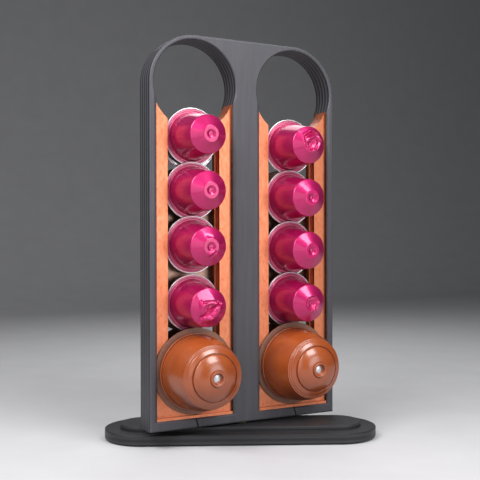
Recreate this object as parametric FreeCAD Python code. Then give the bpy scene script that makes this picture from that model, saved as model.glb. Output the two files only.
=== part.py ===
import FreeCAD, Part
import math
import os

# Two-column rack for coffee capsules on a turning base, in millimetres.
# Origin: middle of the underside. +Z is up, and the rack's front faces -Y.

Vec = FreeCAD.Vector

# Small capsule: an aluminium cup with a curled rim, sealed by a foil
small_rim_radius = 18.45
small_rim_thick = 1.0
small_plate_thick = 0.3
small_body_radius = 15.3
small_shoulder_radius = 11.95
small_shoulder_reach = 25.1
small_shoulder_round = 1.2
small_nose_reach = 29.7
small_nose_radius = 5.15
small_dimple_radius = 2.9
small_dimple_depth = 0.7
small_dimple_slope = 0.7
small_wall = 0.4
foil_thick = 0.3
foil_edge_gap = 0.1

# Large capsule: a moulded plastic cup with a stepped collar and a domed face
large_flange_radius = 27.25
large_flange_thick = 0.5
large_film_thick = 0.2
large_film_inset = 1.2
large_flange_width = 3.75
large_neck_reach = 2.0
large_bead_height = 0.75
large_bead_length = 1.2
large_body_inset = 0.2
large_body_bulge = 1.2
large_body_end_radius = 19.4
large_body_end_reach = 26.0
large_ridge_pitch = 0.6
large_ridge_height = 0.25
large_ridge_count = 2
large_dome_radius = 18.3
large_dome_mid_radius = 14.6
large_dome_mid_reach = 29.7
large_boss_radius = 4.7
large_boss_height = 0.8
large_nose_reach = 34.7
large_eye_radius = 3.1
large_eye_depth = 2.0
large_wall = 0.9

# Gaps between capsules, and between a capsule and what guides it
stack_gap = 0.3
shingle_gap = 0.34
large_stack_gap = 0.35
large_shingle_gap = 0.24
edge_gap = 0.15
slide_gap = 0.23
large_slide_gap = 0.15
groove_side_gap = 0.55
load_gap = 0.9

# How many capsules each column holds, and which small one stands rim on rim
front_large_count = 1
front_small_count = 4
front_left_edge_count = 1
back_large_count = 3
back_left_small_count = 1
back_right_small_count = 0

# Copper-coloured rail inserts
web_thick = 1.5
web_hold = 2.0
rail_lip_thick = 1.8
rail_lip_hold = 0.65
rail_foot_height = 9.0
rail_top_rise = 0.5
sill_height = 1.75
insert_side_gap = 0.1

# Dark frame
frame_lip_thick = 1.3
frame_lip_hold = 1.15
lip_ramp_width = 2.0
lip_ramp_depth = 0.9
bar_ramp_width = 0.8
bar_height = 6.0
wall_at_hole = 2.75
post_width = 15.2
hole_height = 214.9
edge_round = 1.2
hole_chamfer = 0.7
slit_width = 0.9
slit_shift = 1.2

# Base: a rounded plate with a raised middle, on a rubber sheet
base_length = 177.0
base_width = 51.5
base_thick = 6.2
base_edge_round = 0.5
step_margin = 10.0
step_height = 2.9
pad_thick = 0.8
pad_inset = 2.5
turn_angle = 25.2

# Pivot: one screw up through the base into a nut inside the middle post
screw_radius = 2.5
screw_length = 20.0
screw_head_radius = 4.75
screw_head_height = 2.8
screw_head_round = 0.9
screw_recess = 0.4
screw_socket_width = 3.0
screw_socket_depth = 1.6
washer_radius = 6.0
washer_thick = 1.0
bush_radius = 3.5
bush_flange_radius = 5.6
bush_flange_thick = 1.2
nut_width = 8.0
nut_thick = 5.0
nut_height = 4.0
nut_pocket_gap = 0.15
turn_gap = 0.05
screw_gap = 0.05
bore_gap = 0.1
washer_pocket_gap = 0.5

# Sizes that follow from the ones above
small_pitch = small_rim_radius + small_body_radius + stack_gap
small_tilt = math.atan((small_rim_thick + shingle_gap) / small_pitch)
large_neck_radius = large_flange_radius - large_flange_width
large_bead_radius = large_neck_radius + large_bead_height
large_body_radius = large_neck_radius - large_body_inset
large_flange_stack = large_flange_thick + large_film_thick
large_pitch = large_flange_radius + large_neck_radius + large_stack_gap
large_tilt = math.atan((large_flange_stack + large_shingle_gap) / large_pitch)
small_groove = (2 * small_rim_radius * math.sin(small_tilt)
                + small_rim_thick * math.cos(small_tilt) + 2 * slide_gap)
large_groove = (2 * large_flange_radius * math.sin(large_tilt)
                + large_flange_stack * math.cos(large_tilt) + 2 * large_slide_gap)

web_face = web_thick / 2
small_groove_face = web_face + small_groove
rail_face = small_groove_face + rail_lip_thick
large_groove_face = rail_face + large_groove
frame_face = large_groove_face + frame_lip_thick
frame_thick = 2 * frame_face

hole_radius = large_flange_radius + load_gap
column_x = hole_radius + post_width / 2
shoulder_radius = hole_radius + wall_at_hole
frame_half_width = column_x + shoulder_radius
frame_top = hole_height + shoulder_radius
frame_lip_half = large_flange_radius - frame_lip_hold
insert_half = hole_radius - insert_side_gap
web_half = small_rim_radius - web_hold
rail_lip_half = small_rim_radius - rail_lip_hold
small_groove_half = small_rim_radius + groove_side_gap
sill_top = bar_height + sill_height
rail_foot_top = bar_height + rail_foot_height
# The inserts end where the edges of the dark lips run into the loading hole
pocket_top = hole_height - math.sqrt(hole_radius ** 2 - frame_lip_half ** 2) + rail_top_rise
insert_top = pocket_top - insert_side_gap

base_top = pad_thick + base_thick
step_top = base_top + step_height
frame_floor = step_top + bush_flange_thick
washer_top = pad_thick + screw_recess + screw_head_height + washer_thick
past = 1.0                                   # how far a cut runs past the face it leaves
same_place = 0.01                            # edges closer than this are taken as one


def polyWire(points):
    """A closed wire of straight lines through the points."""
    return Part.makePolygon([*points, points[0]])


def block(x0, x1, y0, y1, z0, z1):
    """A box between two corners."""
    return Part.makeBox(x1 - x0, y1 - y0, z1 - z0, Vec(x0, y0, z0))


def spun(edges):
    """A solid of revolution about Z from edges that lie in the XZ plane."""
    face = Part.Face(Part.Wire(edges))
    return Part.makeSolid(face.revolve(Vec(0, 0, 0), Vec(0, 0, 1), 360))


def lines(points):
    """Straight edges from point to point, each given as radius and reach."""
    spots = [Vec(radius, 0, reach) for radius, reach in points]
    return [Part.makeLine(a, b) for a, b in zip(spots, spots[1:])]


def arc(first, middle, last):
    """An arc through three points, each given as radius and reach."""
    spots = [Vec(radius, 0, reach) for radius, reach in (first, middle, last)]
    return Part.Arc(*spots).toShape()


def rounded(solid, radius, chosen):
    """Rounds the edges for which chosen says yes."""
    return solid.makeFillet(radius, [edge for edge in solid.Edges if chosen(edge)])


def hexagon(width, height):
    """A hexagonal bar that stands on the XY plane."""
    corner = width / 2 / math.cos(math.pi / 6)
    spots = [Vec(corner * math.cos(i * math.pi / 3), corner * math.sin(i * math.pi / 3), 0)
             for i in range(6)]
    return Part.Face(polyWire(spots)).extrude(Vec(0, 0, height))


def stadium(length, width, height, floor):
    """A plate with half-round ends, along X."""
    end_radius = width / 2
    end_x = (length - width) / 2
    plate = block(-end_x, end_x, -end_radius, end_radius, floor, floor + height)
    for side in (-1, 1):
        plate = plate.fuse(Part.makeCylinder(end_radius, height, Vec(side * end_x, 0, floor)))
    return plate.removeSplitter()


# Small capsule, with the rim's back at zero reach and the nose up


def smallBodyRadiusAt(reach):
    """Outer radius of the cone between the rim and the shoulder."""
    taper = (small_body_radius - small_shoulder_radius) / small_shoulder_reach
    return small_body_radius - taper * reach


def smallCup():
    curl = small_rim_thick / 2
    curl_centre = small_rim_radius - curl
    plate_back = curl - small_plate_thick / 2
    plate_front = curl + small_plate_thick / 2
    dimple_floor = small_nose_reach - small_dimple_depth
    dimple_foot = small_dimple_radius - small_dimple_slope
    outside = spun(lines([
        (0, plate_back),
        (curl_centre, plate_back),
        (curl_centre, plate_front),
        (small_body_radius, plate_front),
        (small_shoulder_radius, small_shoulder_reach),
        (small_nose_radius, small_nose_reach),
        (small_dimple_radius, small_nose_reach),
        (dimple_foot, dimple_floor),
        (0, dimple_floor),
        (0, plate_back)]))
    outside = rounded(outside, small_shoulder_round,
                      lambda edge: isRing(edge, small_shoulder_radius, small_shoulder_reach))
    inside = spun(lines([
        (0, plate_back - past),
        (small_body_radius - small_wall, plate_back - past),
        (small_body_radius - small_wall, plate_front),
        (small_shoulder_radius - small_wall, small_shoulder_reach - small_wall),
        (small_nose_radius - small_wall / 2, small_nose_reach - 1.5 * small_wall),
        (dimple_foot, dimple_floor - small_wall),
        (0, dimple_floor - small_wall),
        (0, plate_back - past)]))
    ring = Part.makeTorus(curl_centre, curl, Vec(0, 0, curl))
    return outside.cut(inside).fuse(ring)


def isRing(edge, radius, reach):
    """Says whether an edge is the circle of that radius at that reach."""
    circle = edge.Curve
    if not isinstance(circle, Part.Circle):
        return False
    return abs(circle.Radius - radius) < same_place and abs(circle.Center.z - reach) < same_place


def smallFoil():
    curl = small_rim_thick / 2
    plate_back = curl - small_plate_thick / 2
    radius = small_rim_radius - small_rim_thick - foil_edge_gap
    return Part.makeCylinder(radius, foil_thick, Vec(0, 0, plate_back - foil_thick))


# Large capsule, with the film's back at zero reach and the nose up


def ridgePoints():
    """Fine ridges between the body and the dome."""
    step = (large_body_end_radius - large_dome_radius) / large_ridge_count
    points = []
    for i in range(large_ridge_count):
        radius = large_body_end_radius - i * step
        reach = large_body_end_reach + i * large_ridge_pitch
        points.append((radius, reach))
        points.append((radius + large_ridge_height, reach + large_ridge_pitch / 2))
    points.append((large_dome_radius, large_body_end_reach + large_ridge_count * large_ridge_pitch))
    return points


def largeCup():
    flange_back = large_film_thick
    flange_front = large_flange_stack
    bead_end = large_neck_reach + large_bead_length
    ridges = ridgePoints()
    dome_foot = ridges[-1]
    boss_foot = (large_boss_radius, large_nose_reach - large_boss_height)
    eye_floor = large_nose_reach - large_eye_depth
    body_foot = (large_body_radius, bead_end)
    body_mid = ((large_body_radius + large_body_end_radius) / 2 + large_body_bulge,
                (bead_end + large_body_end_reach) / 2)
    dome_mid = (large_dome_mid_radius, large_dome_mid_reach)
    outside = spun([
        *lines([
            (0, flange_back),
            (large_flange_radius, flange_back),
            (large_flange_radius, flange_front),
            (large_neck_radius, flange_front),
            (large_neck_radius, large_neck_reach),
            (large_bead_radius, large_neck_reach),
            (large_bead_radius, bead_end),
            body_foot]),
        arc(body_foot, body_mid, ridges[0]),
        *lines(ridges),
        arc(dome_foot, dome_mid, boss_foot),
        *lines([
            boss_foot,
            (large_boss_radius, large_nose_reach),
            (large_eye_radius, large_nose_reach),
            (large_eye_radius, eye_floor),
            (0, eye_floor),
            (0, flange_back)])])

    inner_foot = (large_neck_radius - large_wall, bead_end)
    inner_mid = (body_mid[0] - large_wall, body_mid[1])
    inner_end = (large_dome_radius - large_wall, large_body_end_reach)
    inner_dome_mid = (large_dome_mid_radius - large_wall, large_dome_mid_reach - large_wall)
    inner_top = (large_eye_radius, eye_floor - large_wall)
    inside = spun([
        *lines([
            (0, flange_back - past),
            (large_neck_radius - large_wall, flange_back - past),
            inner_foot]),
        arc(inner_foot, inner_mid, inner_end),
        arc(inner_end, inner_dome_mid, inner_top),
        *lines([inner_top, (0, inner_top[1]), (0, flange_back - past)])])
    return outside.cut(inside)


def largeFilm():
    return Part.makeCylinder(large_flange_radius - large_film_inset, large_film_thick)


# Capsules in their columns


def placed(shape, middle, tilt, facing, x, y, z):
    """Turns a capsule's nose to the front (-1) or the back (1), dips it, and sets it in its groove."""
    piece = shape.copy()
    piece.translate(Vec(0, 0, -middle))
    piece.rotate(Vec(0, 0, 0), Vec(1, 0, 0), -facing * (90 + math.degrees(tilt)))
    piece.translate(Vec(x, facing * y, z))
    return piece


def columnHeights(large_count, small_count, on_edge):
    """Heights of the capsules' centres above the frame's foot, from the bottom one up."""
    heights = [sill_top + stack_gap + large_flange_radius]
    for _ in range(large_count - 1):
        heights.append(heights[-1] + large_pitch)
    reach = (rail_face + large_groove / 2) - (web_face + small_groove / 2)
    drop = smallBodyRadiusAt(reach + small_rim_thick / 2) + reach * math.sin(small_tilt)
    for i in range(small_count):
        if i == 0:
            heights.append(heights[-1] + large_flange_radius + drop + stack_gap)
        elif i == on_edge:
            heights.append(heights[-1] + 2 * small_rim_radius + edge_gap)
        else:
            heights.append(heights[-1] + small_pitch)
    return heights


# Each column: side of the rack, its x, large and small capsules, which small one stands rim on rim
columns = {
    "front_left": (-1, -column_x, front_large_count, front_small_count, front_left_edge_count),
    "front_right": (-1, column_x, front_large_count, front_small_count, None),
    "back_left": (1, -column_x, back_large_count, back_left_small_count, None),
    "back_right": (1, column_x, back_large_count, back_right_small_count, None),
}


def capsules():
    """Every cup and its seal, numbered from the top of its column."""
    cup_small = smallCup()
    seal_small = smallFoil()
    cup_large = largeCup()
    seal_large = largeFilm()
    small_y = web_face + small_groove / 2
    large_y = rail_face + large_groove / 2
    pieces = {}
    for column, (facing, x, large_count, small_count, on_edge) in columns.items():
        heights = columnHeights(large_count, small_count, on_edge)
        for i, height in enumerate(heights):
            name = "%s_%d" % (column, len(heights) - i)
            z = frame_floor + height
            if i < large_count:
                tilt = large_tilt if large_count > 1 else 0.0
                spot = (large_flange_stack / 2, tilt, facing, x, large_y, z)
                pieces["cup_" + name] = placed(cup_large, *spot)
                pieces["lid_" + name] = placed(seal_large, *spot)
            else:
                spot = (small_rim_thick / 2, small_tilt, facing, x, small_y, z)
                pieces["cup_" + name] = placed(cup_small, *spot)
                pieces["lid_" + name] = placed(seal_small, *spot)
        print(column, "lifts by", round(hole_height - heights[-1], 2), "mm")
    return pieces


# Dark frame, modelled with its foot at zero height


def frameBlank():
    """The outline with both round shoulders, its front and back edges rounded."""
    half = frame_half_width
    y = -frame_face
    slant = shoulder_radius * math.sqrt(0.5)
    outline = Part.Wire([
        Part.makeLine(Vec(-half, y, 0), Vec(-half, y, hole_height)),
        Part.Arc(Vec(-half, y, hole_height),
                 Vec(-column_x - slant, y, hole_height + slant),
                 Vec(-column_x, y, frame_top)).toShape(),
        Part.makeLine(Vec(-column_x, y, frame_top), Vec(column_x, y, frame_top)),
        Part.Arc(Vec(column_x, y, frame_top),
                 Vec(column_x + slant, y, hole_height + slant),
                 Vec(half, y, hole_height)).toShape(),
        Part.makeLine(Vec(half, y, hole_height), Vec(half, y, 0)),
        Part.makeLine(Vec(half, y, 0), Vec(-half, y, 0))])
    blank = Part.Face(outline).extrude(Vec(0, frame_thick, 0))

    def onFace(edge):
        return all(abs(abs(vertex.Y) - frame_face) < same_place for vertex in edge.Vertexes) and (
            len({round(vertex.Y, 3) for vertex in edge.Vertexes}) == 1)
    return rounded(blank, edge_round, onFace)


def lipRamp(x, facing):
    """The slope that leads from the frame's face down to the edge of its lips."""
    def opening(half, foot, depth):
        y = facing * (frame_face - depth)
        return polyWire([Vec(x - half, y, foot), Vec(x + half, y, foot),
                         Vec(x + half, y, hole_height), Vec(x - half, y, hole_height)])
    growth = past * lip_ramp_width / lip_ramp_depth
    bar_growth = past * bar_ramp_width / lip_ramp_depth
    outer = opening(frame_lip_half + lip_ramp_width + growth,
                    bar_height - bar_ramp_width - bar_growth, -past)
    inner = opening(frame_lip_half, bar_height, lip_ramp_depth)
    return Part.makeLoft([outer, inner], True, True)


def loadingHole(x):
    """A round hole through the rack, its two edges bevelled."""
    start = Vec(x, -frame_face - past, hole_height)
    hole = Part.makeCylinder(hole_radius, frame_thick + 2 * past, start, Vec(0, 1, 0))
    for facing in (-1, 1):
        mouth = Part.makeCone(hole_radius + hole_chamfer + past, hole_radius,
                              hole_chamfer + past, Vec(x, facing * (frame_face + past), hole_height),
                              Vec(0, -facing, 0))
        hole = hole.fuse(mouth)
    return hole


def barSlit(x):
    """The S-shaped slit through the bar at the foot of a column."""
    half_height = bar_height / 2
    half_shift = slit_shift / 2
    bend_radius = (half_height ** 2 + half_shift ** 2) / (2 * half_shift)
    bend = math.asin(half_height / bend_radius) / 2
    side = bend_radius * (1 - math.cos(bend))
    drop = bend_radius * math.sin(bend)
    y = -frame_face - past

    def edgeAt(offset):
        start = x + offset
        upper = Part.Arc(Vec(start, y, bar_height),
                         Vec(start + side, y, bar_height - drop),
                         Vec(start + half_shift, y, half_height))
        lower = Part.Arc(Vec(start + half_shift, y, half_height),
                         Vec(start + slit_shift - side, y, drop),
                         Vec(start + slit_shift, y, 0))
        return [Part.makeLine(Vec(start, y, bar_height + past), Vec(start, y, bar_height)),
                upper.toShape(), lower.toShape(),
                Part.makeLine(Vec(start + slit_shift, y, 0), Vec(start + slit_shift, y, -past))]

    left = edgeAt(-slit_width / 2)
    right = edgeAt(slit_width / 2)
    top = Part.makeLine(left[0].Vertexes[0].Point, right[0].Vertexes[0].Point)
    foot = Part.makeLine(left[-1].Vertexes[-1].Point, right[-1].Vertexes[-1].Point)
    outline = Part.Wire(Part.__sortEdges__([*left, *right, top, foot]))
    return Part.Face(outline).extrude(Vec(0, frame_thick + 2 * past, 0))


def screwPassage():
    """Room inside the middle post for the screw's end and its nut."""
    end = screw_length + washer_top - washer_thick - frame_floor
    bore = Part.makeCylinder(screw_radius + bore_gap, end + 2 * past, Vec(0, 0, -past))
    pocket = hexagon(nut_width + 2 * nut_pocket_gap, nut_thick + nut_pocket_gap)
    pocket.translate(Vec(0, 0, nut_height))
    return bore.fuse(pocket)


def towerFrame():
    frame = frameBlank()
    for x in (-column_x, column_x):
        pocket = block(x - hole_radius, x + hole_radius, -large_groove_face, large_groove_face,
                       bar_height, pocket_top)
        grooves = [block(x - hole_radius, x + hole_radius, *sorted((facing * rail_face,
                                                                    facing * large_groove_face)),
                         bar_height, hole_height) for facing in (-1, 1)]
        opening = block(x - frame_lip_half, x + frame_lip_half, -frame_face - past,
                        frame_face + past, bar_height, hole_height)
        cuts = [*grooves, opening, lipRamp(x, -1), lipRamp(x, 1), loadingHole(x), barSlit(x)]
        frame = frame.cut(pocket.multiFuse(cuts))
    frame = frame.cut(screwPassage())
    frame.translate(Vec(0, 0, frame_floor))
    return frame


# Rail insert of one column: a plate with a stepped slot, open to the front and the back


def railInsert(x):
    rails = block(x - insert_half, x + insert_half, -rail_face, rail_face, bar_height, insert_top)
    slot = block(x - web_half, x + web_half, -rail_face - past, rail_face + past,
                 rail_foot_top, hole_height + past)
    for facing in (-1, 1):
        near, far = sorted((facing * web_face, facing * small_groove_face))
        groove = block(x - small_groove_half, x + small_groove_half, near, far,
                       rail_foot_top, hole_height + past)
        near, far = sorted((facing * small_groove_face, facing * (rail_face + past)))
        mouth = block(x - rail_lip_half, x + rail_lip_half, near, far,
                      rail_foot_top, hole_height + past)
        slot = slot.fuse(groove).fuse(mouth)
    hole = Part.makeCylinder(hole_radius, 2 * rail_face + 2 * past,
                             Vec(x, -rail_face - past, hole_height), Vec(0, 1, 0))
    rails = rails.cut(slot.fuse(hole))
    for facing in (-1, 1):
        near, far = sorted((facing * rail_face, facing * large_groove_face))
        sill = block(x - insert_half, x + insert_half, near, far, bar_height, sill_top)
        rails = rails.fuse(sill)
    rails = rails.removeSplitter()
    rails.translate(Vec(0, 0, frame_floor))
    return rails


# Base and pivot, modelled along X


def basePlate():
    plate = stadium(base_length, base_width, base_thick, pad_thick)

    def onRim(edge):
        return all(min(abs(vertex.Z - base_top), abs(vertex.Z - pad_thick)) < same_place
                   for vertex in edge.Vertexes) and (
            len({round(vertex.Z, 3) for vertex in edge.Vertexes}) == 1)
    plate = rounded(plate, base_edge_round, onRim)
    step = stadium(base_length - 2 * step_margin, base_width - 2 * step_margin,
                   step_height, base_top)
    step = rounded(step, base_edge_round, lambda edge: all(
        abs(vertex.Z - step_top) < same_place for vertex in edge.Vertexes))
    plate = plate.fuse(step)
    bore = Part.makeCylinder(bush_radius + turn_gap, step_top - pad_thick + 2 * past,
                             Vec(0, 0, pad_thick - past))
    pocket_roof = washer_top + turn_gap
    pocket = Part.makeCylinder(washer_radius + washer_pocket_gap, pocket_roof - pad_thick + past,
                               Vec(0, 0, pad_thick - past))
    return plate.cut(bore.fuse(pocket))


def basePad():
    return stadium(base_length - 2 * pad_inset, base_width - 2 * pad_inset, pad_thick, 0)


def pivotScrew():
    head_top = washer_top - washer_thick
    screw = Part.makeCylinder(screw_radius, screw_length, Vec(0, 0, head_top))
    head = Part.makeCylinder(screw_head_radius, screw_head_height,
                             Vec(0, 0, head_top - screw_head_height))
    head = rounded(head, screw_head_round,
                   lambda edge: isRing(edge, screw_head_radius, head_top - screw_head_height))
    socket = hexagon(screw_socket_width, screw_socket_depth)
    socket.translate(Vec(0, 0, head_top - screw_head_height))
    return screw.fuse(head).cut(socket)


def pivotWasher():
    ring = Part.makeCylinder(washer_radius, washer_thick, Vec(0, 0, washer_top - washer_thick))
    return ring.cut(Part.makeCylinder(screw_radius + bore_gap, washer_thick,
                                      Vec(0, 0, washer_top - washer_thick)))


def pivotBush():
    sleeve = Part.makeCylinder(bush_radius, step_top - washer_top, Vec(0, 0, washer_top))
    flange = Part.makeCylinder(bush_flange_radius, bush_flange_thick, Vec(0, 0, step_top))
    bore = Part.makeCylinder(screw_radius + screw_gap, frame_floor - washer_top,
                             Vec(0, 0, washer_top))
    return sleeve.fuse(flange).cut(bore)


def pivotNut():
    nut = hexagon(nut_width, nut_thick)
    nut = nut.cut(Part.makeCylinder(screw_radius + screw_gap, nut_thick))
    nut.translate(Vec(0, 0, frame_floor + nut_height))
    return nut


def main():
    pieces = {
        "base_plate": basePlate(),
        "base_pad": basePad(),
        "pivot_screw": pivotScrew(),
        "pivot_washer": pivotWasher(),
        "pivot_bush": pivotBush(),
        "pivot_nut": pivotNut(),
        "tower_frame": towerFrame(),
        "rail_insert_left": railInsert(-column_x),
        "rail_insert_right": railInsert(column_x),
    }
    # The rack stands turned on its base
    for name in ("base_plate", "base_pad"):
        pieces[name].rotate(Vec(0, 0, 0), Vec(0, 0, 1), -turn_angle)
    pieces.update(capsules())

    os.makedirs("parts", exist_ok=True)
    for name, shape in pieces.items():
        box = shape.BoundBox
        print(name, "solids", len(shape.Solids), "valid", shape.isValid(),
              "volume", round(shape.Volume, 1), "size", round(box.XLength, 2),
              round(box.YLength, 2), round(box.ZLength, 2))
        shape.exportStep("parts/%s.step" % name)


main()
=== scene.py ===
import math
import random

import bpy
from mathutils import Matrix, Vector


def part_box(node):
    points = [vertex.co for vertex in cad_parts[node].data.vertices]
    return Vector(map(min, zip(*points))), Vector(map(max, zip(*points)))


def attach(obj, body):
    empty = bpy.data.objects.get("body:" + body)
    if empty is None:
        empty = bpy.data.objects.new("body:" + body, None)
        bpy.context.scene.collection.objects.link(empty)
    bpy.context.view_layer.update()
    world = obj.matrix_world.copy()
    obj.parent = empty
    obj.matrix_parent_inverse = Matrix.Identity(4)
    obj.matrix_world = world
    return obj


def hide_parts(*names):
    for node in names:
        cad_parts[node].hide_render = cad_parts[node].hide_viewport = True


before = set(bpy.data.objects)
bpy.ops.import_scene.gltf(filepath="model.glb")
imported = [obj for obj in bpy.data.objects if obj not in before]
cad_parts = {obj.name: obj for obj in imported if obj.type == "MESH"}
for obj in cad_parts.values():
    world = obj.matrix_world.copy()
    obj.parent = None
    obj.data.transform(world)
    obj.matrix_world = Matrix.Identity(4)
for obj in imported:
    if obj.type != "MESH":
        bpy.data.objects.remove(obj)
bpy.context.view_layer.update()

mm = 0.001
print("frame loaded:", len(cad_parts), "nodes")


# Small helpers

def clearSelection():
    if bpy.context.mode != "OBJECT":
        bpy.ops.object.mode_set(mode="OBJECT")
    bpy.ops.object.select_all(action="DESELECT")


def linearColour(hexText):
    # sRGB hex, turned to the linear values that shaders want
    parts = [int(hexText[i:i + 2], 16) / 255 for i in (1, 3, 5)]
    linear = [c / 12.92 if c <= 0.04045 else ((c + 0.055) / 1.055) ** 2.4 for c in parts]
    return (*linear, 1.0)


def addNode(tree, kind, settings=None, links=None):
    # a setting goes to the socket of that name or number, "stops" to a colour ramp, the rest to the node
    node = tree.nodes.new(kind)
    for key, value in (settings or {}).items():
        if key == "stops":
            while len(node.color_ramp.elements) < len(value):
                node.color_ramp.elements.new(0.5)
            for element, (spot, colour) in zip(node.color_ramp.elements, value):
                element.position = spot
                element.color = linearColour(colour)
        elif isinstance(key, int) or key in node.inputs:
            node.inputs[key].default_value = value
        else:
            setattr(node, key, value)
    for key, source in (links or {}).items():
        tree.links.new(source, node.inputs[key])
    return node


def newMaterial(name, shader):
    material = bpy.data.materials.new(name)
    material.use_nodes = True
    tree = material.node_tree
    tree.nodes.clear()
    surface = addNode(tree, "ShaderNodeBsdfPrincipled", shader)
    addNode(tree, "ShaderNodeOutputMaterial", links={"Surface": surface.outputs["BSDF"]})
    return material, tree, surface


def dress(node, material):
    # gives a CAD node its finish
    piece = bpy.data.objects[node]
    piece.data.materials.clear()
    piece.data.materials.append(material)


# Camera, at the photograph's place

cameraValues = {
    "place": (-0.24454, -0.47222, 0.1310),
    "headingDeg": -27.34,
    "pitchDeg": -0.257,
    "rollDeg": 0.095,
    "lens": 60.86,
    "sensor": 36.0,
}

cameraData = bpy.data.cameras.new("camera")
cameraData.lens = cameraValues["lens"]
cameraData.sensor_width = cameraValues["sensor"]
cameraData.clip_start = 0.01
camera = bpy.data.objects.new("camera", cameraData)
bpy.context.collection.objects.link(camera)
camera.location = cameraValues["place"]
camera.rotation_euler = (math.radians(90 + cameraValues["pitchDeg"]),
                         math.radians(cameraValues["rollDeg"]),
                         math.radians(cameraValues["headingDeg"]))
bpy.context.scene.camera = camera
bpy.context.scene.view_settings.view_transform = "Standard"


# Soft lamps in a dim, pale room. Azimuth 0 is straight in front of the rack, positive to its right

lampValues = {
    "aim": (0, 0, 0.13),
    "away": 0.65,
    "softboxes": {
        "sideSoftbox": {"azimuthDeg": -92, "elevationDeg": 42, "size": (0.3, 0.3), "watts": 1.1},
        "leftSoftbox": {"azimuthDeg": -64, "elevationDeg": 42, "size": (0.32, 0.32), "watts": 3.0},
        "lowLeftSoftbox": {"azimuthDeg": -47, "elevationDeg": 9, "size": (0.44, 0.4), "watts": 0.78},
        "highSoftbox": {"azimuthDeg": 13, "elevationDeg": 42, "size": (0.32, 0.3), "watts": 3.15},
        "frontSoftbox": {"azimuthDeg": 18, "elevationDeg": 6, "size": (0.3, 0.3), "watts": 1.0},
        "backSoftbox": {"azimuthDeg": 150, "elevationDeg": 42, "size": (0.4, 0.4), "watts": 1.0},
    },
    "roomColour": "#c4c7cc",
    "roomStrength": 0.1,
}

for lampName, lamp in lampValues["softboxes"].items():
    around, up = math.radians(lamp["azimuthDeg"]), math.radians(lamp["elevationDeg"])
    direction = Vector((math.sin(around) * math.cos(up), -math.cos(around) * math.cos(up), math.sin(up)))
    lampData = bpy.data.lights.new(lampName, "AREA")
    lampData.shape = "RECTANGLE"
    lampData.size, lampData.size_y = lamp["size"]
    lampData.energy = lamp["watts"]
    lampObject = bpy.data.objects.new(lampName, lampData)
    bpy.context.collection.objects.link(lampObject)
    lampObject.location = Vector(lampValues["aim"]) + direction * lampValues["away"]
    lampObject.rotation_euler = direction.to_track_quat("Z", "Y").to_euler()
    lampObject.visible_camera = False

world = bpy.data.worlds.new("studio room")
bpy.context.scene.world = world
world.use_nodes = True
world.node_tree.nodes["Background"].inputs["Color"].default_value = linearColour(lampValues["roomColour"])
world.node_tree.nodes["Background"].inputs["Strength"].default_value = lampValues["roomStrength"]

floorValues = {
    "colour": "#d2d2d5",
    "shade": "#cdcdd0",
    "thrown": "#626264",      # what it throws back, so that it lights the rack's foot only faintly
    "gap": 0.05 * mm,         # under the base, so that the two faces don't fight
    "width": 5.0,
    "behind": 1.6,            # where the floor curves up
    "wallHeight": 2.2,
    "curve": 0.7,
}

clearSelection()
bpy.ops.mesh.primitive_plane_add(size=floorValues["width"], location=(0, 0, -floorValues["gap"]))
floor = bpy.context.object
floor.name = "studio_floor"
bpy.ops.object.transform_apply(location=True, rotation=True, scale=True)
bpy.ops.object.mode_set(mode="EDIT")
bpy.ops.mesh.select_all(action="DESELECT")
bpy.ops.object.mode_set(mode="OBJECT")
for vertex in floor.data.vertices:
    if vertex.co.y > 0:
        vertex.co.y = floorValues["behind"]
for edge in floor.data.edges:
    edge.select = all(floor.data.vertices[i].co.y > 0 for i in edge.vertices)
bpy.ops.object.mode_set(mode="EDIT")
bpy.ops.mesh.select_mode(type="EDGE")
bpy.ops.mesh.extrude_region_move(TRANSFORM_OT_translate={"value": (0, 0, floorValues["wallHeight"])})
bpy.ops.object.mode_set(mode="OBJECT")
for edge in floor.data.edges:
    edge.select = all(floor.data.vertices[i].co.y > 0 and floor.data.vertices[i].co.z < 0.1
                      for i in edge.vertices)
bpy.ops.object.mode_set(mode="EDIT")
bpy.ops.mesh.bevel(offset=floorValues["curve"], segments=24, affect="EDGES")
bpy.ops.object.mode_set(mode="OBJECT")
bpy.ops.object.shade_smooth()


def paintedBoard():
    # matt emulsion on board, with the faintest roller texture: looks pale, throws little light back
    material, tree, surface = newMaterial("matt emulsion, rolled", {"IOR": 1.45, "Roughness": 0.75})
    place = addNode(tree, "ShaderNodeTexCoord")
    roller = addNode(tree, "ShaderNodeTexNoise", {"Scale": 1 / (40 * mm), "Detail": 4},
                     {"Vector": place.outputs["Object"]})
    tint = addNode(tree, "ShaderNodeValToRGB", {"stops": [
        (0.3, floorValues["shade"]), (0.7, floorValues["colour"])]},
        {"Fac": roller.outputs["Fac"]})
    rays = addNode(tree, "ShaderNodeLightPath")
    mirrored = addNode(tree, "ShaderNodeMath", {"operation": "MAXIMUM"}, {
        0: rays.outputs["Is Glossy Ray"], 1: rays.outputs["Is Transmission Ray"]})
    seen = addNode(tree, "ShaderNodeMath", {"operation": "MAXIMUM"}, {
        0: rays.outputs["Is Camera Ray"], 1: mirrored.outputs["Value"]})
    colour = addNode(tree, "ShaderNodeMix", {"data_type": "RGBA", 6: linearColour(floorValues["thrown"])},
                     {0: seen.outputs["Value"], 7: tint.outputs["Color"]})
    tree.links.new(colour.outputs[2], surface.inputs["Base Color"])
    return material


floor.data.materials.append(paintedBoard())
print("camera, lamps and floor set")


# Printed plastics of the rack

waveRepeat = 0.314        # a wave texture of scale 1 repeats every 0.314 units
skinFrom = 0.93           # a face that points this squarely along the layers is a skin of the print

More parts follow.
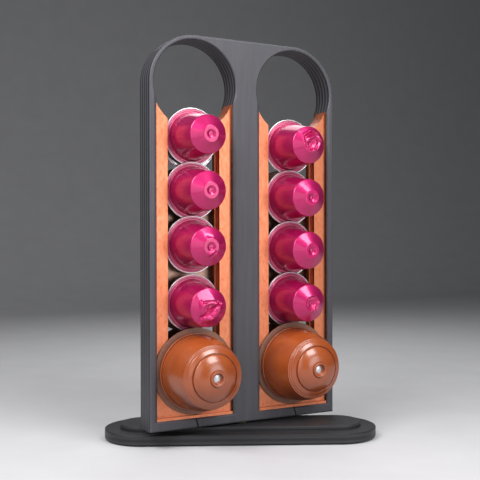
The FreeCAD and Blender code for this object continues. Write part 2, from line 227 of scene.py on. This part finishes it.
charcoalValues = {
    "frame": ("#28282b", "#404044", "#54545a"),      # dark, middle and light bands
    "frameSkin": ("#4a4a4f", "#535359"),             # the smooth faces that lay on the print bed
    # the base is the same PLA as the frame, drawn darker: painted shade, as it sits low under the frame
    "base": ("#28282a", "#303032", "#39393b"),
    "baseSkin": ("#2e2e30", "#363638"),
    "layer": 0.9,         # real layers are 0.2 mm, too fine to show, so they are drawn in groups
    "band": 3.5,          # broader bands where the print cooled differently
    "raster": 0.9,        # skins are laid in diagonal lines, 0.45 mm wide in real life, drawn coarser
    "rasterPatch": 22,    # the lines show in patches of about this size
    "streak": 2.6,
    "grain": 0.7,
    "layerBump": 0.10,
    "bandBump": 0.12,
    "rasterBump": 0.03,
}


def charcoalPla(name, piece, layerAxis):
    # PLA, printed in layers along one axis: satin, banded along the walls, diagonal lines on the skins
    values = charcoalValues
    dark, middle, light = values[piece]
    material, tree, surface = newMaterial(name, {"IOR": 1.46, "Specular IOR Level": 0.4})
    place = addNode(tree, "ShaderNodeTexCoord")
    spot = addNode(tree, "ShaderNodeSeparateXYZ", links={"Vector": place.outputs["Object"]})
    facing = addNode(tree, "ShaderNodeSeparateXYZ", links={"Vector": place.outputs["Normal"]})
    steep = addNode(tree, "ShaderNodeMath", {"operation": "ABSOLUTE"}, {0: facing.outputs[layerAxis]})
    skin = addNode(tree, "ShaderNodeMath", {"operation": "GREATER_THAN", 1: skinFrom},
                   {0: steep.outputs["Value"]})
    bands = addNode(tree, "ShaderNodeTexWave", {
        "bands_direction": layerAxis, "Scale": waveRepeat / (values["band"] * mm),
        "Distortion": 0.4, "Detail": 1.0, "Detail Scale": 2.0},
        {"Vector": place.outputs["Object"]})
    bandColour = addNode(tree, "ShaderNodeValToRGB", {"stops": [
        (0.15, dark), (0.5, middle), (0.85, light)]},
        {"Fac": bands.outputs["Fac"]})
    streakPlace = addNode(tree, "ShaderNodeMapping", {"Scale": (1.0, 1.0, 0.08)},
                          {"Vector": place.outputs["Object"]})
    streaks = addNode(tree, "ShaderNodeTexNoise", {"Scale": 1 / (values["streak"] * mm), "Detail": 3.0},
                      {"Vector": streakPlace.outputs["Vector"]})
    skinColour = addNode(tree, "ShaderNodeValToRGB", {
        "stops": list(zip((0.3, 0.75), values[piece + "Skin"]))},
        {"Fac": streaks.outputs["Fac"]})
    colour = addNode(tree, "ShaderNodeMix", {"data_type": "RGBA"}, {
        0: skin.outputs["Value"], 6: bandColour.outputs["Color"], 7: skinColour.outputs["Color"]})
    tree.links.new(colour.outputs[2], surface.inputs["Base Color"])

    grain = addNode(tree, "ShaderNodeTexNoise", {"Scale": 1 / (values["grain"] * mm), "Detail": 2.0},
                    {"Vector": place.outputs["Object"]})
    rough = addNode(tree, "ShaderNodeMapRange", {"To Min": 0.38, "To Max": 0.52},
                    {"Value": grain.outputs["Fac"]})
    tree.links.new(rough.outputs["Result"], surface.inputs["Roughness"])
    turn = (0, math.radians(45), 0) if layerAxis == "Y" else (0, 0, math.radians(45))
    rasterPlace = addNode(tree, "ShaderNodeMapping", {"Rotation": turn}, {"Vector": place.outputs["Object"]})
    raster = addNode(tree, "ShaderNodeTexWave", {"Scale": waveRepeat / (values["raster"] * mm),
                                                 "Distortion": 0.6, "Detail": 1.0},
                     {"Vector": rasterPlace.outputs["Vector"]})
    patches = addNode(tree, "ShaderNodeTexNoise", {"Scale": 1 / (values["rasterPatch"] * mm),
                                                   "Detail": 1.0},
                      {"Vector": place.outputs["Object"]})
    patchy = addNode(tree, "ShaderNodeMapRange", {"From Min": 0.45, "From Max": 0.62},
                     {"Value": patches.outputs["Fac"]})
    rasterShown = addNode(tree, "ShaderNodeMath", {"operation": "MULTIPLY"},
                          {0: raster.outputs["Fac"], 1: patchy.outputs["Result"]})
    rasterBump = addNode(tree, "ShaderNodeBump", {"Strength": 0.5, "Distance": values["rasterBump"] * mm},
                         {"Height": rasterShown.outputs["Value"]})
    layers = addNode(tree, "ShaderNodeTexNoise", {"noise_dimensions": "1D", "Detail": 1.0,
                                                  "Scale": 1 / (values["layer"] * mm)},
                     {"W": spot.outputs[layerAxis]})
    bandBump = addNode(tree, "ShaderNodeBump", {"Strength": 1.0, "Distance": values["bandBump"] * mm},
                       {"Height": bands.outputs["Fac"], "Normal": rasterBump.outputs["Normal"]})
    bump = addNode(tree, "ShaderNodeBump", {"Strength": 1.0, "Distance": values["layerBump"] * mm},
                   {"Height": layers.outputs["Fac"], "Normal": bandBump.outputs["Normal"]})
    tree.links.new(bump.outputs["Normal"], surface.inputs["Normal"])
    return material


silkValues = {
    "light": "#e6906a",
    "middle": "#df8157",
    "patch": "#cf6d45",
    "seam": "#7a3320",        # between groups of layers, on the faces that stand up from the print bed; it also darkens those faces as a whole, painted shade
    "seamEvery": 2.2,
    "mottle": 1.9,
    "layer": 0.9,             # drawn in groups, as on the frame
    "layerBump": 0.04,
    "mottleBump": 0.02,
}


def silkCopperPla():
    # silk PLA with a metal effect: shiny and warm, mottled with darker, redder patches
    values = silkValues
    material, tree, surface = newMaterial("copper silk PLA, printed", {"Metallic": 0.5, "IOR": 1.5})
    place = addNode(tree, "ShaderNodeTexCoord")
    spot = addNode(tree, "ShaderNodeSeparateXYZ", links={"Vector": place.outputs["Object"]})
    tall = addNode(tree, "ShaderNodeMapping", {"Scale": (1.0, 1.0, 0.5)},
                   {"Vector": place.outputs["Object"]})
    mottle = addNode(tree, "ShaderNodeTexNoise", {"Scale": 1 / (values["mottle"] * mm),
                                                  "Detail": 3.0, "Roughness": 0.55},
                     {"Vector": tall.outputs["Vector"]})
    colour = addNode(tree, "ShaderNodeValToRGB", {"stops": [
        (0.26, values["patch"]), (0.4, values["middle"]), (0.7, values["light"])]},
        {"Fac": mottle.outputs["Fac"]})
    facing = addNode(tree, "ShaderNodeSeparateXYZ", links={"Vector": place.outputs["Normal"]})
    steep = addNode(tree, "ShaderNodeMath", {"operation": "ABSOLUTE"}, {0: facing.outputs["Y"]})
    side = addNode(tree, "ShaderNodeMath", {"operation": "LESS_THAN", 1: skinFrom},
                   {0: steep.outputs["Value"]})
    seams = addNode(tree, "ShaderNodeTexWave", {
        "bands_direction": "Y", "Scale": waveRepeat / (values["seamEvery"] * mm),
        "Distortion": 0.6, "Detail": 1.0, "Detail Scale": 2.0},
        {"Vector": place.outputs["Object"]})
    # side faces run from this dark colour to the middle one: real layer seams, with painted shade over the
    # whole face
    seamAndShadeColour = addNode(tree, "ShaderNodeValToRGB", {"stops": [
        (0.25, values["seam"]), (0.8, values["middle"])]},
        {"Fac": seams.outputs["Fac"]})
    shown = addNode(tree, "ShaderNodeMix", {"data_type": "RGBA"}, {
        0: side.outputs["Value"], 6: colour.outputs["Color"], 7: seamAndShadeColour.outputs["Color"]})
    tree.links.new(shown.outputs[2], surface.inputs["Base Color"])
    rough = addNode(tree, "ShaderNodeMapRange", {"To Min": 0.4, "To Max": 0.26},
                    {"Value": mottle.outputs["Fac"]})
    tree.links.new(rough.outputs["Result"], surface.inputs["Roughness"])
    layers = addNode(tree, "ShaderNodeTexNoise", {"noise_dimensions": "1D", "Detail": 1.0,
                                                  "Scale": 1 / (values["layer"] * mm)},
                     {"W": spot.outputs["Y"]})
    layerBump = addNode(tree, "ShaderNodeBump", {"Strength": 1.0, "Distance": values["layerBump"] * mm},
                        {"Height": layers.outputs["Fac"]})
    grains = addNode(tree, "ShaderNodeBump", {"Strength": 0.4, "Distance": values["mottleBump"] * mm},
                     {"Height": mottle.outputs["Fac"], "Normal": layerBump.outputs["Normal"]})
    tree.links.new(grains.outputs["Normal"], surface.inputs["Normal"])
    return material


dress("tower_frame", charcoalPla("charcoal PLA, printed on its face", "frame", "Y"))
# the base plate's darker charcoal is painted shade
dress("base_plate", charcoalPla("charcoal PLA, printed flat", "base", "Z"))
copper = silkCopperPla()
dress("rail_insert_left", copper)
dress("rail_insert_right", copper)
print("rack and base dressed")


# Hidden pieces: rubber sheet and pivot

def cutRubber():
    # sheet rubber, cut with a knife: black, matt, slightly dusty
    material, tree, surface = newMaterial("nitrile rubber, cut sheet", {"IOR": 1.52, "Roughness": 0.85})
    place = addNode(tree, "ShaderNodeTexCoord")
    dust = addNode(tree, "ShaderNodeTexNoise", {"Scale": 1 / (3 * mm), "Detail": 5.0},
                   {"Vector": place.outputs["Object"]})
    colour = addNode(tree, "ShaderNodeValToRGB", {"stops": [(0.4, "#1b1b1c"), (0.7, "#2b2b2c")]},
                     {"Fac": dust.outputs["Fac"]})
    tree.links.new(colour.outputs["Color"], surface.inputs["Base Color"])
    grit = addNode(tree, "ShaderNodeBump", {"Strength": 0.5, "Distance": 0.05 * mm},
                   {"Height": dust.outputs["Fac"]})
    tree.links.new(grit.outputs["Normal"], surface.inputs["Normal"])
    return material


def turnedMetal(name, light, dark, roughness):
    # metal from a lathe or a plating bath: fine marks and a slightly uneven shine
    material, tree, surface = newMaterial(name, {"Metallic": 1.0})
    place = addNode(tree, "ShaderNodeTexCoord")
    marks = addNode(tree, "ShaderNodeTexNoise", {"Scale": 1 / (0.6 * mm), "Detail": 3.0},
                    {"Vector": place.outputs["Object"]})
    colour = addNode(tree, "ShaderNodeValToRGB", {"stops": [(0.35, dark), (0.65, light)]},
                     {"Fac": marks.outputs["Fac"]})
    tree.links.new(colour.outputs["Color"], surface.inputs["Base Color"])
    rough = addNode(tree, "ShaderNodeMapRange", {"To Min": roughness - 0.08, "To Max": roughness + 0.08},
                    {"Value": marks.outputs["Fac"]})
    tree.links.new(rough.outputs["Result"], surface.inputs["Roughness"])
    return material


zincSteel = turnedMetal("steel, zinc plated", "#c3c5c8", "#a9abb0", 0.34)
dress("base_pad", cutRubber())
for fixing in ("pivot_screw", "pivot_washer", "pivot_nut"):
    dress(fixing, zincSteel)
# the brass is drawn dark: painted shade, for its place under the middle post
dress("pivot_bush", turnedMetal("brass, turned, gone dull", "#75694f", "#574f3f", 0.42))


# Turning a capsule's outline into a shell

def outlineFrom(corners, longest):
    # corners hold radius, reach and how far from the corner its rounding starts, all in mm;
    # longest tells how long a stretch may be at a reach
    spots = [Vector(corner[:2]) for corner in corners]
    points = [spots[0]]
    for i in range(1, len(corners) - 1):
        back, ahead = spots[i - 1] - spots[i], spots[i + 1] - spots[i]
        start = spots[i] + back.normalized() * min(corners[i][2], back.length / 2)
        end = spots[i] + ahead.normalized() * min(corners[i][2], ahead.length / 2)
        steps = 5 if corners[i][2] else 0
        for k in range(steps + 1):
            t = k / steps if steps else 0
            points.append(start * (1 - t) ** 2 + spots[i] * 2 * t * (1 - t) + end * t * t)
    points.append(spots[-1])
    finer = [points[0]]
    for a, b in zip(points, points[1:]):
        count = max(1, math.ceil((b - a).length / longest(b.y)))
        finer += [a.lerp(b, (k + 1) / count) for k in range(count)]
    return finer


def curveThrough(a, middle, b, steps):
    # corner list for a smooth curve from a to b that passes through middle, without its ends
    a, middle, b = Vector(a), Vector(middle), Vector(b)
    pull = middle * 2 - (a + b) / 2
    spots = [a * (1 - t) ** 2 + pull * 2 * t * (1 - t) + b * t * t
             for t in (k / steps for k in range(1, steps))]
    return [(spot.x, spot.y, 0) for spot in spots]


def spinShell(name, outline, middle, segments):
    # the outline is drawn point by point from one vertex, then spun round its axis and closed
    clearSelection()
    bpy.ops.mesh.primitive_plane_add(size=mm)
    shell = bpy.context.object
    shell.name = name
    bpy.ops.object.mode_set(mode="EDIT")
    bpy.ops.mesh.merge(type="CENTER")
    bpy.ops.mesh.select_all(action="SELECT")
    bpy.ops.transform.translate(value=(outline[0].x * mm, 0, (outline[0].y - middle) * mm))
    for a, b in zip(outline, outline[1:]):
        step = (b - a) * mm
        bpy.ops.mesh.extrude_vertices_move(TRANSFORM_OT_translate={"value": (step.x, 0, step.y)})
    bpy.ops.mesh.select_all(action="SELECT")
    bpy.ops.mesh.spin(steps=segments, angle=2 * math.pi, center=(0, 0, 0), axis=(0, 0, 1))
    bpy.ops.mesh.select_all(action="SELECT")
    bpy.ops.mesh.remove_doubles(threshold=0.004 * mm)
    bpy.ops.mesh.normals_make_consistent(inside=False)
    bpy.ops.object.mode_set(mode="OBJECT")
    return shell


def ownCopy(original, name):
    piece = original.copy()
    piece.data = original.data.copy()
    piece.name = name
    piece.data.name = name
    bpy.context.collection.objects.link(piece)
    return piece


def keepDrawnPlace(piece, shift):
    # keeps each point's place on the capsule, in mm, so that patterns follow the shell wherever it lies
    drawn = piece.data.attributes.new("drawn", "FLOAT_VECTOR", "POINT")
    for vertex, value in zip(piece.data.vertices, drawn.data):
        value.vector = vertex.co / mm + shift


def seatCapsule(piece, node, lean, depth, sharpDeg):
    # lean dips the nose, and depth is how far the rim's middle lies from the node's back face
    low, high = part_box(node)
    facing = -1 if "front" in node else 1
    y = high.y - depth * mm if facing < 0 else low.y + depth * mm
    piece.rotation_euler = (-facing * (math.pi / 2 + lean), 0, 0)
    piece.location = ((low.x + high.x) / 2, y, (low.z + high.z) / 2)
    clearSelection()
    piece.select_set(True)
    bpy.context.view_layer.objects.active = piece
    bpy.ops.object.transform_apply(location=True, rotation=True, scale=True)
    bpy.ops.object.shade_smooth_by_angle(angle=math.radians(sharpDeg))
    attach(piece, node.replace("cup_", "capsule_"))
    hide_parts(node)


# Finishes of the capsules

lacquerValues = {
    "body": ("#bb105f", "#c81468"),         # deep and light
    "collar": ("#bd5479", "#c96787"),       # paler than the body: painted light on the flat collar ring
    "metallic": 0.6,
    "roughness": 0.4,
    "cloud": 5,                             # size of the slow change of colour
    "peel": 0.9,                            # orange peel of the lacquer
    "peelBump": 0.006,
}


def magentaLacquer(name, part):
    # clear magenta lacquer over deep-drawn aluminium: a deep metal shine under a hard gloss
    values = lacquerValues
    deep, light = values[part]
    material, tree, surface = newMaterial(name, {
        "Metallic": values["metallic"], "Coat Weight": 0.75, "Coat Roughness": 0.12})
    drawn = addNode(tree, "ShaderNodeAttribute", {"attribute_name": "drawn"})
    cloud = addNode(tree, "ShaderNodeTexNoise", {"Scale": 1 / values["cloud"], "Detail": 2.0},
                    {"Vector": drawn.outputs["Vector"]})
    colour = addNode(tree, "ShaderNodeValToRGB", {"stops": [(0.3, deep), (0.7, light)]},
                     {"Fac": cloud.outputs["Fac"]})
    tree.links.new(colour.outputs["Color"], surface.inputs["Base Color"])
    peel = addNode(tree, "ShaderNodeTexNoise", {"Scale": 1 / values["peel"], "Detail": 2.0},
                   {"Vector": drawn.outputs["Vector"]})
    rough = addNode(tree, "ShaderNodeMapRange", {"To Min": values["roughness"] - 0.05,
                                                 "To Max": values["roughness"] + 0.07},
                    {"Value": peel.outputs["Fac"]})
    tree.links.new(rough.outputs["Result"], surface.inputs["Roughness"])
    bump = addNode(tree, "ShaderNodeBump", {"Strength": 0.3, "Distance": values["peelBump"] * mm},
                   {"Height": peel.outputs["Fac"]})
    tree.links.new(bump.outputs["Normal"], surface.inputs["Normal"])
    return material


def rolledAluminium(name, light, dark, roughness, wrinkle, size):
    # bare aluminium from the rolling mill: bright, with fine marks and the odd wrinkle
    material, tree, surface = newMaterial(name, {"Metallic": 1.0})
    place = addNode(tree, "ShaderNodeTexCoord")
    marks = addNode(tree, "ShaderNodeTexNoise", {"Scale": 1 / (size * mm), "Detail": 3.0},
                    {"Vector": place.outputs["Object"]})
    colour = addNode(tree, "ShaderNodeValToRGB", {"stops": [(0.3, dark), (0.65, light)]},
                     {"Fac": marks.outputs["Fac"]})
    tree.links.new(colour.outputs["Color"], surface.inputs["Base Color"])
    rough = addNode(tree, "ShaderNodeMapRange", {"To Min": roughness - 0.06, "To Max": roughness + 0.1},
                    {"Value": marks.outputs["Fac"]})
    tree.links.new(rough.outputs["Result"], surface.inputs["Roughness"])
    bump = addNode(tree, "ShaderNodeBump", {"Strength": 0.6, "Distance": wrinkle * mm},
                   {"Height": marks.outputs["Fac"]})
    tree.links.new(bump.outputs["Normal"], surface.inputs["Normal"])
    return material


capsulePlasticValues = {
    "colour": "#a95326",
    "deep": "#9d4920",
    "roughness": 0.25,
    "flow": 9,                # how far apart the pearl's flow marks lie
    "texture": 0.6,
    "textureBump": 0.002,
}


def copperPlastic():
    # moulded polypropylene with a copper pearl: warm, satin, almost even
    values = capsulePlasticValues
    material, tree, surface = newMaterial("polypropylene, copper pearl, moulded", {
        "IOR": 1.49, "Specular IOR Level": 0.95})
    drawn = addNode(tree, "ShaderNodeAttribute", {"attribute_name": "drawn"})
    flow = addNode(tree, "ShaderNodeTexNoise", {"Scale": 1 / values["flow"], "Detail": 3.0},
                   {"Vector": drawn.outputs["Vector"]})
    colour = addNode(tree, "ShaderNodeValToRGB", {"stops": [(0.3, values["deep"]), (0.7, values["colour"])]},
                     {"Fac": flow.outputs["Fac"]})
    tree.links.new(colour.outputs["Color"], surface.inputs["Base Color"])
    fine = addNode(tree, "ShaderNodeTexNoise", {"Scale": 1 / values["texture"], "Detail": 2.0},
                   {"Vector": drawn.outputs["Vector"]})
    rough = addNode(tree, "ShaderNodeMapRange", {"To Min": values["roughness"] - 0.03,
                                                 "To Max": values["roughness"] + 0.03},
                    {"Value": fine.outputs["Fac"]})
    tree.links.new(rough.outputs["Result"], surface.inputs["Roughness"])
    bump = addNode(tree, "ShaderNodeBump", {"Strength": 0.3, "Distance": values["textureBump"] * mm},
                   {"Height": fine.outputs["Fac"]})
    tree.links.new(bump.outputs["Normal"], surface.inputs["Normal"])
    return material


flangeValues = {
    "light": "#8d6453",
    "dark": "#815947",
    "lines": 160,         # fine lines round the sealed ring
}


def sealedFlange():
    # the flange under its heat-sealed film: greyer than the body, with fine lines across it
    values = flangeValues
    material, tree, surface = newMaterial("polypropylene, heat sealed", {
        "Metallic": 0.2, "IOR": 1.49, "Roughness": 0.42})
    drawn = addNode(tree, "ShaderNodeAttribute", {"attribute_name": "drawn"})
    around = addNode(tree, "ShaderNodeTexGradient", {"gradient_type": "RADIAL"},
                     {"Vector": drawn.outputs["Vector"]})
    lines = addNode(tree, "ShaderNodeTexNoise", {"noise_dimensions": "1D", "Detail": 2.0,
                                                 "Scale": values["lines"]},
                    {"W": around.outputs["Fac"]})
    colour = addNode(tree, "ShaderNodeValToRGB", {"stops": [(0.35, values["dark"]), (0.65, values["light"])]},
                     {"Fac": lines.outputs["Fac"]})
    tree.links.new(colour.outputs["Color"], surface.inputs["Base Color"])
    bump = addNode(tree, "ShaderNodeBump", {"Strength": 0.3, "Distance": 0.015 * mm},
                   {"Height": lines.outputs["Fac"]})
    tree.links.new(bump.outputs["Normal"], surface.inputs["Normal"])
    return material


# Small capsules: deep-drawn aluminium with a rolled rim

smallCapsuleValues = {
    "rimRadius": 18.45,
    "curl": 0.5,                     # radius of the rolled edge
    "plateBack": 0.38,
    "plateFront": 0.65,
    "bead": (16.45, 0.35, 0.22),     # radius, half width and height
    "bodyRadius": 15.3,
    "shoulder": (11.95, 25.1),       # radius and reach, as for the nose and the dimple's floor
    "nose": (5.05, 29.7),
    "dimple": (1.5, 28.95),
    "dimpleWall": 1.35,              # how much wider its mouth is than its floor
    "pip": (0.5, 0.12),              # radius and height
    "leanDeg": 2.254,
    "clean": (0.35, 144),            # step along the nose, and segments round it
    "dented": (0.16, 256),           # finer, for the dents
}

# Dents of the noses, in mm from the nose's middle as seen from the front, x to the right and y up.
# A flat is pressed down to a plane: height over the nose at the middle, slope along x, slope along y.
# A hollow: x, y, half width, half height, depth. A fold: x, y to x, y, depth and half width, and a
# negative depth makes it a crest.
noseDents = {
    "front_left_3": {
        "folds": [(-0.2, -6.4, 3.2, -3.2, 0.8, 1.1), (-1.4, -4.4, 1.4, -3.0, -0.5, 1.4),
                  (-2.4, 6.8, 0.2, 6.2, 0.3, 1.5)],
    },
    "front_left_4": {
        "flats": [(1.9, 0.252, -0.51)],
        "hollows": [(-0.2, -1.2, 6.0, 5.2, 0.8)],
        "folds": [(-5.4, -5.2, 6.2, 2.8, 1.5, 1.5), (-6.3, 4.0, -6.3, -8.0, 0.5, 1.4),
                  (-4.2, 3.6, 4.4, 4.2, 1.1, 1.2), (-3.0, -7.4, 0.8, -7.0, -0.9, 2.6),
                  (5.6, -1.6, 6.8, 0.0, -0.7, 2.2), (1.2, -4.4, 3.0, -3.4, -0.5, 1.2)],
    },
    "front_right_1": {
        "hollows": [(0.6, 2.4, 6.8, 6.6, 1.5)],
        "folds": [(-5.7, 6.1, -0.2, 9.0, -0.4, 1.2), (-0.2, 9.0, 5.0, 7.5, -0.5, 1.2),
                  (5.0, 7.5, 7.8, 2.5, -0.5, 1.2), (-4.0, 4.2, 0.2, 7.2, 1.1, 2.2),
                  (-1.3, 3.9, 2.2, 6.0, -1.3, 1.4), (2.2, 6.0, 7.4, 2.8, -1.3, 1.4),
                  (-3.7, 1.8, -1.7, -2.4, -0.7, 1.0), (3.4, 1.8, 1.4, -3.1, -1.1, 1.3),
                  (1.6, -3.9, 3.0, -3.6, -0.5, 1.1)],
    },
    "front_right_2": {
        "folds": [(2.4, -1.6, 3.6, 1.0, 0.5, 1.0)],
    },
    "front_right_4": {
        "hollows": [(0.3, 0.4, 5.4, 5.0, 1.0)],
        "folds": [(0.8, -4.2, 4.6, 0.4, -0.8, 1.2), (-3.8, -1.6, -3.2, 2.8, 0.4, 1.1),
                  (-3.0, 3.4, 1.6, 4.2, 0.4, 1.1), (-2.6, -2.8, 0.6, -3.6, 0.5, 1.0)],
    },
}


def smallCapsuleOutline(noseStep):
    values = smallCapsuleValues
    curl = values["curl"]
    curlMiddle = Vector((values["rimRadius"] - curl, curl))
    beadRadius, beadHalf, beadHeight = values["bead"]
    front = values["plateFront"]
    shoulder, nose, dimple, pip = (values[key] for key in ("shoulder", "nose", "dimple", "pip"))
    corners = [(0, values["plateBack"], 0)]
    for k in range(21):                # the rolled rim, from the plate's back round to its front
        turn = math.radians(195 + 330 * k / 20)
        corners.append((curlMiddle.x + curl * math.cos(turn), curlMiddle.y + curl * math.sin(turn), 0))
    corners += [
        (beadRadius + beadHalf, front, 0.1),
        (beadRadius, front + 2 * beadHeight, beadHalf),
        (beadRadius - beadHalf, front, 0.1),
        (values["bodyRadius"], front, 0.6),
        (*shoulder, 0.4),
        (*nose, 0.3),
        (dimple[0] + values["dimpleWall"], nose[1], 0.35),
        (*dimple, 0.8),
        (pip[0] + 0.4, dimple[1], 0.3),
        (pip[0] - 0.4, dimple[1] + pip[1], 0.4),
        (0, dimple[1] + pip[1], 0),
    ]
    return outlineFrom(corners, lambda reach: noseStep if reach > shoulder[1] - 1 else 2.5)


def dentNose(piece, dents, middle):
    # presses the nose in along the capsule's axis, as a finger or a neighbour's rim does
    noseReach = smallCapsuleValues["nose"][1]
    for vertex in piece.data.vertices:
        x, y, reach = vertex.co.x / mm, vertex.co.y / mm, vertex.co.z / mm + middle
        if reach < smallCapsuleValues["shoulder"][1] + 0.3:
            continue
        for top, slopeX, slopeY in dents.get("flats", []):
            reach = min(reach, noseReach + top + slopeX * x + slopeY * y)
        for hollowX, hollowY, halfWidth, halfHeight, depth in dents.get("hollows", []):
            inside = 1 - math.hypot((x - hollowX) / halfWidth, (y - hollowY) / halfHeight)
            share = min(1, max(0, inside * 3))
            reach -= depth * share * share * (3 - 2 * share)
        for startX, startY, endX, endY, depth, halfWidth in dents.get("folds", []):
            start, along = Vector((startX, startY)), Vector((endX - startX, endY - startY))
            spot = Vector((x, y)) - start
            t = min(1, max(0, spot.dot(along) / along.length_squared))
            reach -= depth * max(0, 1 - (spot - along * t).length / halfWidth)
        vertex.co.z = (reach - middle) * mm


def smallShell(name, fineness, finishes):
    values = smallCapsuleValues
    noseStep, segments = fineness
    shell = spinShell(name, smallCapsuleOutline(noseStep), values["curl"], segments)
    for finish in finishes:
        shell.data.materials.append(finish)
    collarFrom = (values["bodyRadius"] + 0.25) * mm
    rimFrom = (values["rimRadius"] - 1.75 * values["curl"]) * mm
    for face in shell.data.polygons:
        radius = math.hypot(face.center.x, face.center.y)
        face.material_index = (radius > collarFrom) + (radius > rimFrom)
    return shell


def smallCapsules(nodes):
    values = smallCapsuleValues
    finishes = [magentaLacquer("aluminium, magenta lacquer", "body"),
                # the collar's paler lacquer is painted light
                magentaLacquer("aluminium, thin magenta lacquer", "collar"),
                rolledAluminium("aluminium, rolled rim", "#e6e6e8", "#cbcbce", 0.3, 0.01, 0.8)]
    cleanShell = smallShell("clean_capsule", values["clean"], finishes)
    dentedShell = smallShell("dented_capsule", values["dented"], finishes)
    lean = math.radians(values["leanDeg"])
    depth = (values["rimRadius"] - values["curl"]) * math.sin(lean) + values["curl"]
    for node in nodes:
        dents = noseDents.get(node.replace("cup_", ""))
        piece = ownCopy(dentedShell if dents else cleanShell, node.replace("cup_", "shell_"))
        spread = random.Random(node)
        keepDrawnPlace(piece, Vector([spread.uniform(-90, 90) for _ in range(3)]))
        if dents:
            dentNose(piece, dents, values["curl"])
        seatCapsule(piece, node, lean, depth, sharpDeg=60)
    bpy.data.objects.remove(cleanShell)
    bpy.data.objects.remove(dentedShell)


# Large capsules: moulded plastic with a sealed flange and a foil eye

largeCapsuleValues = {
    "flange": (27.25, 0.2, 0.7),      # radius, back and front
    "neck": (23.5, 2.0),              # radius and reach, as for all that follow
    "bead": (24.3, 3.1),
    "body": ((23.3, 3.5), (22.55, 14.8), (19.3, 26.0)),
    "steps": ((19.45, 26.1), (19.3, 26.65), (18.6, 26.8), (18.45, 27.35), (17.5, 27.6), (17.35, 28.1)),
    "band": ((16.95, 28.25), (16.1, 28.75), (14.95, 29.4)),
    "groove": ((14.75, 28.5), (14.25, 28.6)),
    "dome": ((14.05, 29.95), (9.9, 32.5), (5.25, 33.75)),
    "bossGroove": (4.85, 33.45),
    "boss": (4.7, 34.7),
    "eye": (3.1, 32.7),
    "foil": (2.3, 33.05),             # radius and top of the foil's dome
    "stack": 0.7,                     # film and flange together
    "backLeanDeg": 1.054,             # the ones on the back overlap, and lean
    "segments": 160,
}


def largeCapsuleOutline():
    values = largeCapsuleValues
    radius, back, front = values["flange"]
    neck, bead, boss, eye, foil = (values[key] for key in ("neck", "bead", "boss", "eye", "foil"))
    body, band, dome = (values[key] for key in ("body", "band", "dome"))
    groove = values["groove"]
    corners = [
        (0, back + 0.03, 0),          # a hair off the film, so that the two faces don't fight
        (radius, back, 0.15),
        (radius, front, 0.15),
        (neck[0], front, 0.1),
        (neck[0], neck[1], 0.1),
        (bead[0], neck[1], 0.4),
        (bead[0], bead[1], 0.5),
        (bead[0] - 0.7, bead[1], 0.2),
        (body[0][0], bead[1] - 0.35, 0.1),
        (*body[0], 0.15),
        *curveThrough(*body, 12),
        (*body[2], 0.1),
        *[(*step, 0.22) for step in values["steps"]],
        (*band[0], 0.1),
        *curveThrough(*band, 8),
        (*band[2], 0.25),
        (*groove[0], 0.15),
        (*groove[1], 0.15),
        (*dome[0], 0.3),
        *curveThrough(*dome, 14),
        (*dome[2], 0.2),
        (*values["bossGroove"], 0.1),
        (*boss, 0.3),
        (eye[0] + 0.4, boss[1], 0.3),
        (eye[0], eye[1], 0.2),
        (foil[0], eye[1], 0.15),
        (foil[0] * 0.6, foil[1], 0.4),
        (0, foil[1], 0),
    ]
    return outlineFrom(corners, lambda reach: 1.0 if reach > 20 else 2.5)


def largeCapsules(nodes):
    values = largeCapsuleValues
    middle = values["stack"] / 2
    shell = spinShell("large_capsule", largeCapsuleOutline(), middle, values["segments"])
    shell.data.materials.append(copperPlastic())
    shell.data.materials.append(sealedFlange())
    shell.data.materials.append(rolledAluminium("aluminium foil, pierced", "#dfdfe0", "#bdbdc0",
                                                0.36, 0.04, 1.2))
    flangeTo = (values["flange"][2] + 0.1 - middle) * mm
    eyeFrom = (values["eye"][1] - 0.1 - middle) * mm
    for face in shell.data.polygons:
        radius = math.hypot(face.center.x, face.center.y) / mm
        if face.center.z < flangeTo and radius > values["neck"][0] + 0.2:
            face.material_index = 1
        elif face.center.z > eyeFrom and radius < values["foil"][0]:
            face.material_index = 2
    for node in nodes:
        piece = ownCopy(shell, node.replace("cup_", "shell_"))
        spread = random.Random(node)
        turn = spread.uniform(0, 2 * math.pi)
        for vertex in piece.data.vertices:
            vertex.co.xy = Vector((vertex.co.x * math.cos(turn) - vertex.co.y * math.sin(turn),
                                   vertex.co.x * math.sin(turn) + vertex.co.y * math.cos(turn)))
        keepDrawnPlace(piece, Vector((0, 0, spread.uniform(-90, 90))))
        lean = 0 if "front" in node else math.radians(values["backLeanDeg"])
        depth = values["flange"][0] * math.sin(lean) + middle - values["flange"][1]
        seatCapsule(piece, node, lean, depth, sharpDeg=35)
    bpy.data.objects.remove(shell)


cups = sorted(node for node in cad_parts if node.startswith("cup_"))
bigFrom = 45 * mm         # the rims measure 37 and 54.5 mm
bigCups = [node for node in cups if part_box(node)[1].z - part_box(node)[0].z > bigFrom]
smallCapsules([node for node in cups if node not in bigCups])
largeCapsules(bigCups)
print("capsules made:", len(cups))


# Seals on the backs of the capsules

smallFoil = rolledAluminium("aluminium foil, sealed", "#e6e6e7", "#c9c9cc", 0.26, 0.1, 3.0)
largeFilm = rolledAluminium("metallised film, sealed", "#ab8b7b", "#8f7062", 0.34, 0.12, 5.0)
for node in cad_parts:
    if node.startswith("lid_"):
        dress(node, largeFilm if node.replace("lid_", "cup_") in bigCups else smallFoil)
print("seals dressed")
